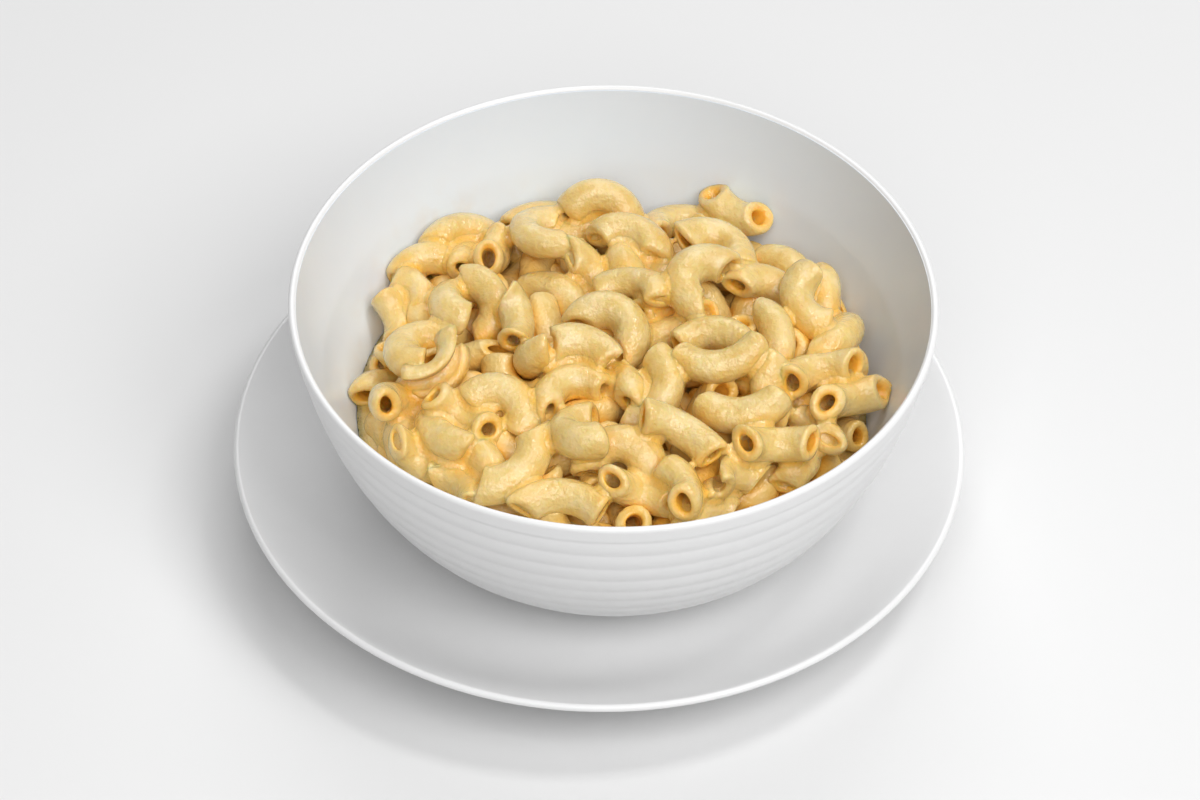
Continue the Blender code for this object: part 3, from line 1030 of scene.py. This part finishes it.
outer = largest_shell(len(skin_points), skin_quads)
skin_quads = (np.cumsum(outer) - 1)[skin_quads[outer[skin_quads[:, 0]]]]
sauce = make_mesh("cheese_sauce", skin_points[outer], skin_quads)
skin_points = read_points(sauce)
touch = creases(skin_points)[:, None]
skin_points += read_points(sauce, "normal") * (FILM * touch - DRAW_IN * (1.0 - touch))
skin_points = inside_bowl(skin_points)
sauce.data.vertices.foreach_set("co", skin_points.astype(np.float32).ravel())
sauce.data.update()
add_sauce_and_painted_shade(sauce)

# %% [markdown]
# ### Core
#
# Under the strewn elbows nobody can see, and a heap of hidden pasta would only cost triangles. So
# one turned solid fills the bowl there. Its top follows the mound, some way beneath the lowest
# row, and its side follows the bowl's inside.

# %% Core
CORE_DEPTH = 7.0 * MM
CORE_GAP = 0.4 * MM
CORE_SIDE_GAP = 1.5 * MM
CORE_TOP_STEPS = 24
CORE_SIDE_STEPS = 14
CORE_TURN_STEPS = 96
core_radii = np.linspace(0.0, MOUND_REACH, CORE_TOP_STEPS)
core_top = mound_height(core_radii, 0.0) - CORE_DEPTH
core_low = bowl_inside[0, 1] + CORE_GAP
bowl_side = bowl_inside[FLOOR_STEPS:]
core_floor = np.linspace(bowl_side[0, 0], MOUND_REACH, CORE_SIDE_STEPS)[::-1]
inside_height = np.interp(core_floor, bowl_side[:, 0], bowl_side[:, 1])
core_side = np.column_stack([core_floor - CORE_SIDE_GAP, np.minimum(inside_height, core_top[-1])])
core_profile = np.concatenate([
    np.column_stack([core_radii, core_top]), core_side, [[0.0, core_low]]])
core = turned("sauce_core", core_profile, CORE_TURN_STEPS, bowl_x)

for piece in (top_piece, under_piece, sauce, core):
    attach(piece, "root")
    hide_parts("macaroni_heap")

# %% [markdown]
# ### Cooked macaroni and cheese sauce
#
# Cooked durum pasta is a soft, slightly see-through gel: light goes in and comes out about a
# millimetre away, yellower. The sauce is milk, butter and cheddar, more opaque, with fine grains
# of curd about half a millimetre across. A wet film lies over both, and the wrinkles and grains
# break its shine into small glints. The elbows beneath don't scatter: they overlap a lot, and
# light that scatters through overlapping shells comes out grey.

# %% Pasta and sauce materials
GRAIN = 0.55 * MM
WRINKLE = 1.7 * MM
BLOTCH = 5.0 * MM
BLOTCH_STOPS = (0.30, 0.50, 0.72)
SCATTER = 1.3 * MM
GLOSSIER = 0.08
DULLER = 0.12
SCATTER_BY_COLOUR = (1.0, 0.6, 0.2)
WET_FILM = 1.0
FILM_ROUGHNESS = 0.12
FILM_IOR = 1.45
PASTA_IOR = 1.42
AMBER_FALL = 1.5
WRINKLE_RELIEF = 0.55 * MM
WRINKLE_STRENGTH = 0.8
GRAIN_RELIEF = 0.3 * MM


def food_material(name, amber, deep, middle, pale, roughness, scatter, grain):
    """Blotches of three shades, amber creases of sauce and painted shade, scattering, and a wet film over
    a fine grain.

    The amber's share is the stored crease value to the power AMBER_FALL.
    """
    material, tree = new_material(name)
    place = add_node(tree, "ShaderNodeTexCoord").outputs["Object"]
    blotch = add_node(tree, "ShaderNodeTexNoise", Vector=place, Scale=1.0 / BLOTCH, Detail=3.0)
    shades = [linear(deep), linear(middle), linear(pale)]
    colour = ramp(tree, blotch.outputs["Fac"], list(zip(BLOTCH_STOPS, shades)))
    crease = add_node(tree, "ShaderNodeAttribute", {"attribute_name": "crease"}).outputs["Fac"]
    depth = add_node(
        tree, "ShaderNodeMath", {"operation": "POWER"}, Input0=crease, Input1=AMBER_FALL).outputs[0]
    colour = add_node(
        tree, "ShaderNodeMix", {"data_type": "RGBA"}, Input0=depth, Input6=colour,
        Input7=linear(amber)).outputs[2]
    fine = add_node(tree, "ShaderNodeTexNoise", Vector=place, Scale=1.0 / GRAIN, Detail=3.0)
    wrinkle = add_node(tree, "ShaderNodeTexNoise", Vector=place, Scale=1.0 / WRINKLE, Detail=2.0)
    dull = add_node(
        tree, "ShaderNodeMapRange", Value=fine.outputs["Fac"], From_Min=0.3, From_Max=0.7,
        To_Min=roughness - GLOSSIER, To_Max=roughness + DULLER)
    waves = add_node(
        tree, "ShaderNodeBump", Strength=WRINKLE_STRENGTH, Distance=WRINKLE_RELIEF,
        Height=wrinkle.outputs["Fac"])
    bump = add_node(
        tree, "ShaderNodeBump", Strength=grain, Distance=GRAIN_RELIEF, Height=fine.outputs["Fac"],
        Normal=waves.outputs["Normal"])
    shader = add_node(
        tree, "ShaderNodeBsdfPrincipled", Base_Color=colour, Roughness=dull.outputs["Result"],
        IOR=PASTA_IOR, Subsurface_Weight=scatter, Subsurface_Radius=SCATTER_BY_COLOUR,
        Subsurface_Scale=SCATTER, Coat_Weight=WET_FILM, Coat_Roughness=FILM_ROUGHNESS,
        Coat_IOR=FILM_IOR,
        Normal=bump.outputs["Normal"], Coat_Normal=bump.outputs["Normal"])
    finish_material(tree, shader)
    return material


# The first colour of each is the amber: sauce colour and painted shade in the creases, painted shade low
# in the heap and in the holes.
PASTA_SHADES = ("F6BC48", "DBB96B", "E1C67F", "E8D299")
SAUCE_SHADES = ("F4BC4C", "DFB967", "E4C47A", "E9CF90")
pasta = food_material("cooked_macaroni", *PASTA_SHADES, 0.34, 0.7, 0.55)
cheese = food_material("cheddar_sauce", *SAUCE_SHADES, 0.30, 0.6, 0.65)
shaded_pasta = food_material("shaded_macaroni", *PASTA_SHADES, 0.34, 0.0, 0.55)
top_piece.data.materials.append(pasta)
under_piece.data.materials.append(shaded_pasta)
sauce.data.materials.append(cheese)
core.data.materials.append(cheese)
